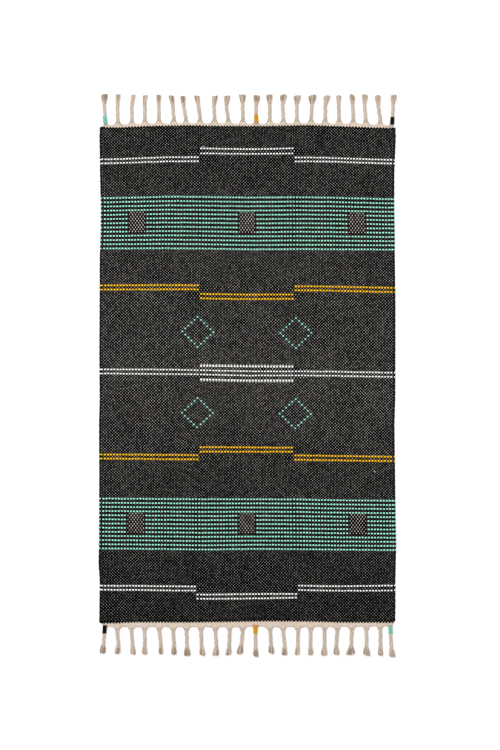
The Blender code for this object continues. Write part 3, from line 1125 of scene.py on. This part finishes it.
# Brushes: some tips are cut flat and some are parted, by their tassel's place from the left
BRUSH_LENGTH = 21.0 * MM
BRUSH_STATIONS = 6
BRUSH_SIDES = 5
BRUSH_ROOT = 3.0 * MM
BRUSH_MIDDLE = 0.47
BRUSH_NECK = 0.38
TIP_TRIM = 1.7 * MM
TIP_SPREAD = 1.1
CLUMPS = 5
CLUMP_DRAW = 0.4
CUT_SLANT = 0.05
CUT_SPREAD = 0.5 * MM
YARN_BEND = 0.6 * MM
YARN_RANGE = (0.75, 1.15)
GOLDEN_ANGLE = math.pi * (3 - math.sqrt(5))
PARTING = 0.22
PARTED = {"far": (11, 21), "near": (6, 10)}
FLAT_TIPS = {"far": range(11), "near": ()}

# The share of a brush at which it has spread, and how much its sides fall back, as ranges
TipForm = namedtuple("TipForm", "swell rounding")
FLAT_TIP = TipForm((0.9, 1.1), (0.02, 0.06))
ROUND_TIP = TipForm((0.68, 1.0), (0.05, 0.14))

# Warps drawn out of the heading into a tassel
GATHER_STATIONS = 5
GATHER_SIDES = 6
GATHER_TUCK = 3.0 * MM
GATHER_RUN = 7.0 * MM
GATHER_RADIUS = 1.25 * MM
GATHER_TAPER = 0.6
GATHER_START_HEIGHT = 1.9 * MM
GATHER_BEND_HEIGHT = 2.1 * MM
GATHER_BEND_REACH = 1.2 * MM
GATHER_BEND_DRAW = 0.35

# Where each form runs along the yarn map, on which the cotton opens into cut ends near 1, and
# the first number of its yarns after its tassel's own
STEM_SPAN = (0.0, 1.0)
BRUSH_SPAN = (0.9, 2.0)
GATHER_SPAN = (0.0, 0.3)
TASSEL_NUMBERS = 400
GATHER_NUMBER = 20
BRUSH_NUMBER = 50


def wrapped_places(tassels):
    """The tassels whose feet are wound: the first, the middle and the last."""
    return 0, len(tassels) // 2, len(tassels) - 1


def add_stem(joined, tassel, settings, rng, number, root_y, bound):
    """Plies of cotton twisted round each other from the heading to the brush."""
    side = tassel.side
    start = root_y - side * STEM_ROOT_TUCK
    finish = tassel.tip - side * (BRUSH_LENGTH - STEM_OVERRUN)
    ys = np.linspace(start, finish, STEM_STATIONS)
    run = np.abs(ys - start)
    rise = smooth(np.clip(run / ROOT_LENGTH, 0, 1))
    phase = rng.uniform(0, FULL_TURN)
    pitch = settings.twist * rng.uniform(*TWIST_RANGE)
    sway = np.convolve(rng.normal(0, STEM_SWAY, STEM_STATIONS), SWAY_WINDOW, mode="same")
    middles = np.array([tassel.x(y) for y in ys]) + sway
    height = settings.stem_height * (ROOT_HEIGHT + (1 - ROOT_HEIGHT) * rise)
    flare = 1 + ROOT_FLARE * (1 - rise)
    waist = np.ones(STEM_STATIONS)
    if bound:
        flare = 1.0
        waist -= BOUND_PINCH * (1 - smooth(np.clip((run - BOUND_LENGTH) / BOUND_RUN, 0, 1)))
    from_pinch = (ys - finish + side * NECK_PINCH_BACK) / NECK_PINCH_REACH
    pinch = 1 - rng.uniform(0.0, NECK_PINCH) * np.exp(-from_pinch ** 2)
    pinch = pinch * waist
    for ply in range(settings.plies):
        turn = phase + FULL_TURN * (ply / settings.plies + run / pitch)
        thick = settings.ply_width / 2 * (ROOT_PLY + (1 - ROOT_PLY) * rise) * pinch
        thick = thick * (1 + PLY_SPREAD * rng.standard_normal(STEM_STATIONS))
        thick[-2:] *= PLY_TAPER
        orbit = (settings.stem_width - settings.ply_width) / 2 * flare
        x = middles + orbit * pinch * np.cos(turn)
        z = height / 2 + (height / 2 - thick) * np.sin(turn)
        line = np.stack((x, ys, np.maximum(z, thick)), axis=-1)
        radii = np.stack((thick, thick), axis=-1)
        joined.add(*strand(line, radii, STEM_SIDES, *STEM_SPAN, number + ply))


def add_brush(joined, tassel, settings, rng, number, form, part):
    """Cut yarn ends that swell out of the neck of a tassel in a few clumps."""
    side = tassel.side
    neck = tassel.tip - side * BRUSH_LENGTH
    half_tip = TIP_SPREAD * tassel.width(tassel.tip) / 2
    half_neck = settings.stem_width * BRUSH_NECK
    height = settings.stem_height * BRUSH_MIDDLE
    swell = rng.uniform(*form.swell)
    rounding = rng.uniform(*form.rounding)
    cut = rng.normal(0, CUT_SLANT)
    count = settings.brush_yarns
    for index in range(count):
        reach = math.sqrt((index + 0.5) / count)
        across = reach * math.cos(index * GOLDEN_ANGLE)
        upward = reach * math.sin(index * GOLDEN_ANGLE)
        clump = int((across + 1) / 2 * CLUMPS)
        middle = (clump + 0.5) / CLUMPS * 2 - 1
        opened = math.copysign(part + (1 - part) * abs(across), across)
        length = BRUSH_LENGTH * (1 + cut * across - rounding * across ** 2) - TIP_TRIM
        length += rng.normal(0, CUT_SPREAD)
        bend = rng.normal(0, YARN_BEND)
        radius = settings.yarn_width / 2 * rng.uniform(*YARN_RANGE)
        line = []
        radii = []
        for share in np.linspace(0, 1, BRUSH_STATIONS):
            y = neck + side * (share * (length + BRUSH_ROOT) - BRUSH_ROOT)
            width = min(1.0, share / swell)
            half = half_neck + width * (half_tip - radius - half_neck)
            half *= 1 - rounding * max(0.0, share - swell)
            place = across + CLUMP_DRAW * share * (middle - across) + share ** 2 * (opened - across)
            thick = radius * (0.9 + 0.25 * share)
            x = tassel.x(y) + place * half + bend * math.sin(math.pi * share) * share
            line.append((x, y, max(height + upward * (height - radius), thick)))
            radii.append((thick, thick))
        joined.add(*strand(line, radii, BRUSH_SIDES, *BRUSH_SPAN, number + clump))


def add_gather(joined, tassel, settings, x, edge_y, root_y, number):
    """One warp that leaves the heading and joins the foot of its tassel."""
    side = tassel.side
    root_x = tassel.xs[0]
    start = np.array((x, edge_y - side * GATHER_TUCK, GATHER_START_HEIGHT))
    bend_x = x + GATHER_BEND_DRAW * (root_x - x)
    bend = np.array((bend_x, start[1] + side * (GATHER_TUCK + GATHER_BEND_REACH), GATHER_BEND_HEIGHT))
    end_y = root_y + side * GATHER_RUN
    lean = np.clip((x - root_x) / HALF_TASSEL_GAP, -1, 1)
    end_x = tassel.x(end_y) + lean * (settings.stem_width / 2 - GATHER_RADIUS)
    end = np.array((end_x, end_y, settings.stem_height / 2))
    shares = np.linspace(0, 1, GATHER_STATIONS)[:, None]
    line = (1 - shares) ** 2 * start + 2 * shares * (1 - shares) * bend + shares ** 2 * end
    radii = np.full((GATHER_STATIONS, 2), GATHER_RADIUS)
    radii[-1] *= GATHER_TAPER
    joined.add(*strand(line, radii, GATHER_SIDES, *GATHER_SPAN, number))


def build_tassels(lattice, end, tassels, settings, material):
    rim_places = heading_rim(end)
    rng = draws(f"tassels_{end}")
    edge_row = 0 if end == "far" else -1
    lines = slice(HEADING_FIRST_LINE + 1, len(lattice.warps) - HEADING_FIRST_LINE, Lattice.STEPS)
    warps_x = lattice.x[edge_row, lines]
    roots = np.array([tassel.xs[0] for tassel in tassels])
    owners = np.abs(warps_x[:, None] - roots[None]).argmin(axis=1)
    drawn_x = gathered(warps_x, 1.0, roots)
    joined = Joined(len(tassels) * (settings.plies + settings.brush_yarns) + len(warps_x))
    bound = wrapped_places(tassels)
    for index, tassel in enumerate(tassels):
        number = TASSEL_NUMBERS * index
        root_y = float(np.interp(tassel.xs[0], *rim_places))
        add_stem(joined, tassel, settings, rng, number, root_y, index in bound)
        form = FLAT_TIP if index in FLAT_TIPS[end] else ROUND_TIP
        part = PARTING if index in PARTED[end] else 0.0
        add_brush(joined, tassel, settings, rng, number + BRUSH_NUMBER, form, part)
        for place, x in enumerate(drawn_x[owners == index]):
            edge_y = float(heading_edge(end, x, rim_places, roots))
            add_gather(joined, tassel, settings, x, edge_y, root_y, number + GATHER_NUMBER + place)
    piece = joined.object(f"tassels_{end}")
    return finish_piece(piece, material, "natural_cotton", f"fringe_{end}")


# Wound feet
WINDING_STEPS = 14
WINDING_SIDES = 6
WINDING_HALF_WIDTH = 4.1 * MM
TURN_OVERLAP = 1.12
# The wound yarn is painted darker and deeper than the laid-in yarn: painted shade
WINDING_PAINTED_SHADE = 0.64
WINDING_DEPTH = 1.3
WINDING_GLOSS = {"mint": 0.05, "orange": 0.05, "black": 0.18}
WINDING_SHIFTS = {"far": (0.0, 0.0), "near": (3.0 * MM, 1.8 * MM)}


def painted_shade_copy(colour):
    """The same yarn wound tight, painted in a darker, deeper copy of its colour: painted shade."""
    return (*(WINDING_PAINTED_SHADE * channel ** WINDING_DEPTH for channel in colour[:3]), 1.0)


def build_winding(end, yarn, tassel, settings, material):
    """Coloured yarn wound round the foot of a tassel, turn beside turn."""
    node = f"wrap_{yarn}_{end}"
    low, high = (np.array(corner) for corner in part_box(node))
    side = SIDES[end]
    start, finish = (low[1], high[1]) if side > 0 else (high[1], low[1])
    start -= side * WINDING_SHIFTS[end][0]
    finish -= side * WINDING_SHIFTS[end][1]
    radius = abs(finish - start) / settings.turns / 2
    half_up = (high[2] - low[2]) / 2 - radius * TURN_OVERLAP
    total = settings.turns * WINDING_STEPS
    shares = np.linspace(0, 1, total + 1)
    angles = FULL_TURN * settings.turns * shares
    ys = start + shares * (finish - start) + side * radius * (1 - 2 * shares)
    xs = np.array([tassel.x(y) for y in ys]) + WINDING_HALF_WIDTH * np.cos(angles)
    line = np.stack((xs, ys, (low[2] + high[2]) / 2 + half_up * np.sin(angles)), axis=-1)
    radii = np.full((total + 1, 2), radius * TURN_OVERLAP)
    joined = Joined()
    joined.add(*strand(line, radii, WINDING_SIDES, 0.0, 2.0 * settings.turns, 0, up=(0.0, 1.0, 0.0)))
    piece = joined.object(f"winding_{yarn}_{end}")
    return finish_piece(piece, material, f"{yarn}_yarn", node)


# Loose threads: where each starts and ends on the face, how far it bows sideways, and its width,
# all in millimetres
Thread = namedtuple("Thread", "name yarn x y to_x to_y bow width")
THREADS = [
    Thread("loop", "white", -107.4, 540.6, -103.2, 541.6, 1.2, 0.9),
    Thread("fibre", "white", 299.2, -226.6, 301.4, -230.6, 0.8, 1.0),
]
THREAD_STATIONS = 9
THREAD_SIDES = 8
THREAD_SPAN = (0.0, 4.0)


def build_thread(thread, settings, material):
    """A stray end of inlay yarn that lies over the weave and dips into it at both ends."""
    shares = np.linspace(0, 1, THREAD_STATIONS)
    arch = np.sin(math.pi * shares)
    x = thread.x + shares * (thread.to_x - thread.x) + thread.bow * arch
    y = thread.y + shares * (thread.to_y - thread.y)
    radius = thread.width * MM / 2
    z = settings.thickness + radius * (3 * np.minimum(1.0, 3 * arch) - 2)
    line = np.stack((x * MM, y * MM, z), axis=-1)
    joined = Joined()
    joined.add(*strand(line, np.full((THREAD_STATIONS, 2), radius), THREAD_SIDES, *THREAD_SPAN))
    piece = joined.object(f"thread_{thread.name}")
    return finish_piece(piece, material, f"{thread.yarn}_yarn")


# Stage: the kilim lies a little left of the middle of the picture
FLOOR_SIZE = 8.0
FLOOR_DROP = 0.1 * MM
KEY_PLACE = (-2.0, 3.0, 5.0)
KEY_SIZE = 3.0
PICTURE_SHIFT = (5.9 * MM, 0.2 * MM)
FARTHEST_SEEN = 50.0


def lay_floor(settings):
    finish = Finish("pale_floor", 0.8)
    grain = finish.noise(30.0, 3.0)
    finish.feed("Base Color", finish.mix(grain, shade(settings.floor, 0.985), rgba(settings.floor)))
    bpy.ops.mesh.primitive_plane_add(size=FLOOR_SIZE, location=(0.0, 0.0, -FLOOR_DROP))
    floor = bpy.context.object
    floor.name = "floor"
    floor.data.materials.append(finish.material)
    floor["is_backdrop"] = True


def add_lights(scene, settings):
    """One large soft light, and even light from all round."""
    data = bpy.data.lights.new("key", "AREA")
    data.size = KEY_SIZE
    data.energy = settings.key_light
    key = bpy.data.objects.new("key", data)
    key.location = KEY_PLACE
    key.rotation_euler = (-Vector(KEY_PLACE)).to_track_quat("-Z", "Y").to_euler()
    scene.collection.objects.link(key)
    world = bpy.data.worlds.new("soft_room")
    world.use_nodes = True
    background = world.node_tree.nodes["Background"]
    background.inputs["Strength"].default_value = settings.fill_light
    background.inputs["Color"].default_value = (1.0, 1.0, 1.0, 1.0)
    scene.world = world


def add_camera(scene, settings):
    """A camera straight above, far enough away to see the view height."""
    data = bpy.data.cameras.new("camera")
    data.lens = settings.lens
    data.sensor_fit = "AUTO"
    data.clip_end = FARTHEST_SEEN
    camera = bpy.data.objects.new("camera", data)
    camera.location = (*PICTURE_SHIFT, settings.view_height * data.lens / data.sensor_width)
    scene.collection.objects.link(camera)
    scene.camera = camera


# Settings
def length_setting(name, description, default, least, most):
    """A length, with its default and limits in millimetres."""
    return bpy.props.FloatProperty(
        name=name,
        description=description,
        default=default * MM,
        min=least * MM,
        max=most * MM,
        precision=4,
        unit="LENGTH",
        subtype="DISTANCE",
    )


def number_setting(name, description, default, least, most, **kind):
    made = bpy.props.IntProperty if isinstance(default, int) else bpy.props.FloatProperty
    return made(name=name, description=description, default=default, min=least, max=most, **kind)


def colour_setting(name, description, default):
    return bpy.props.FloatVectorProperty(
        name=name,
        description=description,
        default=default,
        size=3,
        min=0.0,
        max=1.0,
        subtype="COLOR",
    )


class KilimWeaveSettings(bpy.types.PropertyGroup):
    thickness: length_setting("Thickness", "From the floor to the crests of the weave", 4.2, 1, 10)
    relief: length_setting("Relief", "Height of the weft humps over the pits between them", 1.5, 0.2, 3)
    inlay_height: length_setting("Inlay height", "How far laid-in yarn stands over the weave", 1.3, 0.2, 3)
    speck_width: number_setting("Speck width", "Half, as a share of the warp spacing", 0.268, 0.05, 0.6)
    speck_length: number_setting("Speck length", "Half, as a share of the pick spacing", 0.362, 0.05, 0.6)
    speck_spread: number_setting("Speck unevenness", "How much the sizes differ", 0.35, 0.0, 1.0)


class KilimFringeSettings(bpy.types.PropertyGroup):
    stem_width: length_setting("Stem width", "Width of a twisted tassel", 8.6, 3, 15)
    stem_height: length_setting("Stem height", "Height of a twisted tassel over the floor", 7.4, 3, 15)
    plies: number_setting("Plies", "Bundles twisted round each other in a stem", 3, 2, 5)
    ply_width: length_setting("Ply width", "Thickness of one twisted bundle", 4.7, 1, 8)
    twist: length_setting("Twist", "Length of one turn of the plies", 44.0, 10, 100)
    brush_yarns: number_setting("Brush yarns", "Cut yarn ends at the tip of a tassel", 32, 6, 60)
    yarn_width: length_setting("Yarn width", "Thickness of one cut yarn end", 1.7, 0.5, 4)
    turns: number_setting("Wound turns", "Turns of coloured yarn round the foot of a tassel", 15, 3, 30)


class KilimColourSettings(bpy.types.PropertyGroup):
    black: colour_setting("Black weft", "The dyed weft of the ground", (0.0012, 0.0012, 0.0013))
    warp: colour_setting("Warp specks", "The warp where it shows in the ground", (0.55, 0.525, 0.49))
    bright_warp: colour_setting("Open warp", "The warp in the open squares", (0.84, 0.76, 0.70))
    # Partly painted shade from the raised mint dots, partly a reddish tone of the warp's own
    hidden_warp: colour_setting("Hidden warp", "The warp between mint rows", (0.28, 0.12, 0.125))
    natural: colour_setting("Natural cotton", "Tassels and headings", (0.575, 0.475, 0.385))
    # The crests of a heading are painted toward this colour as painted highlight
    cream: colour_setting("Cream cotton", "The lighter crossings of a heading", (0.71, 0.595, 0.49))
    frayed: colour_setting("Cut ends", "The darker fibres at the tips", (0.47, 0.34, 0.235))
    white: colour_setting("White inlay", "Bleached yarn laid in", (0.98, 0.97, 0.95))
    mint: colour_setting("Mint inlay", "Mint yarn laid in", (0.37, 0.85, 0.67))
    orange: colour_setting("Orange inlay", "Orange yarn laid in", (0.97, 0.53, 0.014))


class KilimStageSettings(bpy.types.PropertyGroup):
    floor: colour_setting("Floor", "The pale floor under the kilim", (0.95, 0.95, 0.95))
    view_height: number_setting(
        "View height",
        "Length along the kilim that fills the picture",
        1.7775,
        0.5,
        5.0,
        unit="LENGTH",
        subtype="DISTANCE",
    )
    lens: number_setting("Lens", "Focal length of the camera in millimetres", 85.0, 20.0, 200.0)
    key_light: number_setting(
        "Key light", "Power of the large soft light at the far left", 178.0, 0.0, 1000.0, unit="POWER"
    )
    fill_light: number_setting("Fill light", "Strength of the even light from all round", 0.95, 0.0, 5.0)


# Operators
@lru_cache(maxsize=None)
def shared_lattice():
    """The one lattice that every piece is laid on."""
    return Lattice()


class MakeWeave(bpy.types.Operator):
    """Weaves the black ground in four sections"""

    bl_idname = "kilim.make_weave"
    bl_label = "Weave"
    bl_options = {"REGISTER", "UNDO"}

    def execute(self, context):
        scene = context.scene
        material = weave_finish(scene.kilim_colours, scene.kilim_weave)
        build_weave(shared_lattice(), scene.kilim_weave, material)
        return {"FINISHED"}


class MakeInlay(bpy.types.Operator):
    """Lays in the white, mint and orange yarn"""

    bl_idname = "kilim.make_inlay"
    bl_label = "Inlay"
    bl_options = {"REGISTER", "UNDO"}

    def execute(self, context):
        scene = context.scene
        for yarn in ("white", "mint", "orange"):
            material = inlay_finish(f"{yarn}_inlay", getattr(scene.kilim_colours, yarn))
            build_inlay(shared_lattice(), yarn, scene.kilim_weave, material)
            for thread in THREADS:
                if thread.yarn == yarn:
                    build_thread(thread, scene.kilim_weave, material)
        return {"FINISHED"}


class MakeHeadings(bpy.types.Operator):
    """Makes the natural border at each end"""

    bl_idname = "kilim.make_headings"
    bl_label = "Headings"
    bl_options = {"REGISTER", "UNDO"}

    def execute(self, context):
        scene = context.scene
        material = heading_finish(scene.kilim_colours)
        raised = inlay_finish("raised_warp", scene.kilim_colours.cream)
        for end in SIDES:
            build_heading(shared_lattice(), end, read_tassels(end), material)
            build_floats(shared_lattice(), end, scene.kilim_weave, raised)
        return {"FINISHED"}


class MakeTassels(bpy.types.Operator):
    """Twists the tassels and fans out their cut ends"""

    bl_idname = "kilim.make_tassels"
    bl_label = "Tassels"
    bl_options = {"REGISTER", "UNDO"}

    def execute(self, context):
        scene = context.scene
        colours = scene.kilim_colours
        material = cotton_finish("natural_twist", colours.natural, colours.frayed)
        for end in SIDES:
            build_tassels(shared_lattice(), end, read_tassels(end), scene.kilim_fringe, material)
        return {"FINISHED"}


class MakeWindings(bpy.types.Operator):
    """Winds coloured yarn round the feet of six tassels"""

    bl_idname = "kilim.make_windings"
    bl_label = "Wound feet"
    bl_options = {"REGISTER", "UNDO"}

    def execute(self, context):
        scene = context.scene
        colours = scene.kilim_colours
        # Each winding gets a darker copy of its yarn's colour: painted shade
        materials = {
            yarn: inlay_finish(f"{yarn}_winding", painted_shade_copy(getattr(colours, yarn)), gloss)
            for yarn, gloss in WINDING_GLOSS.items()
        }
        for end, yarns in WRAPPED.items():
            tassels = read_tassels(end)
            for yarn, place in zip(yarns, wrapped_places(tassels)):
                build_winding(end, yarn, tassels[place], scene.kilim_fringe, materials[yarn])
        return {"FINISHED"}


class MakeStage(bpy.types.Operator):
    """Lays the floor and sets the lights and the camera"""

    bl_idname = "kilim.make_stage"
    bl_label = "Stage"
    bl_options = {"REGISTER", "UNDO"}

    def execute(self, context):
        scene = context.scene
        scene.view_settings.view_transform = "Standard"
        lay_floor(scene.kilim_stage)
        add_lights(scene, scene.kilim_stage)
        add_camera(scene, scene.kilim_stage)
        return {"FINISHED"}


class KilimPanel(bpy.types.Panel):
    """The kilim's pieces, sizes and colours"""

    bl_idname = "VIEW3D_PT_kilim"
    bl_label = "Kilim"
    bl_space_type = "VIEW_3D"
    bl_region_type = "UI"
    bl_category = "Kilim"

    def draw(self, context):
        for maker in MAKERS:
            self.layout.operator(maker.bl_idname)
        for name in SETTINGS:
            group = getattr(context.scene, name)
            box = self.layout.box()
            for key in group.__annotations__:
                box.prop(group, key)


SETTINGS = {
    "kilim_weave": KilimWeaveSettings,
    "kilim_fringe": KilimFringeSettings,
    "kilim_colours": KilimColourSettings,
    "kilim_stage": KilimStageSettings,
}
MAKERS = (MakeStage, MakeWeave, MakeInlay, MakeHeadings, MakeTassels, MakeWindings)


def register():
    for cls in (*SETTINGS.values(), *MAKERS, KilimPanel):
        bpy.utils.register_class(cls)
    for name, group in SETTINGS.items():
        setattr(bpy.types.Scene, name, bpy.props.PointerProperty(type=group))


def unregister():
    for name in SETTINGS:
        delattr(bpy.types.Scene, name)
    for cls in reversed((*SETTINGS.values(), *MAKERS, KilimPanel)):
        bpy.utils.unregister_class(cls)


def main():
    register()
    bpy.ops.kilim.make_stage()
    bpy.ops.kilim.make_weave()
    bpy.ops.kilim.make_inlay()
    bpy.ops.kilim.make_headings()
    bpy.ops.kilim.make_tassels()
    bpy.ops.kilim.make_windings()
    boxes = {"cad": CAD_BOUNDS, "visual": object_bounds()}
    plain = {name: [list(corner) for corner in box] for name, box in boxes.items()}


if __name__ == "__main__":
    main()
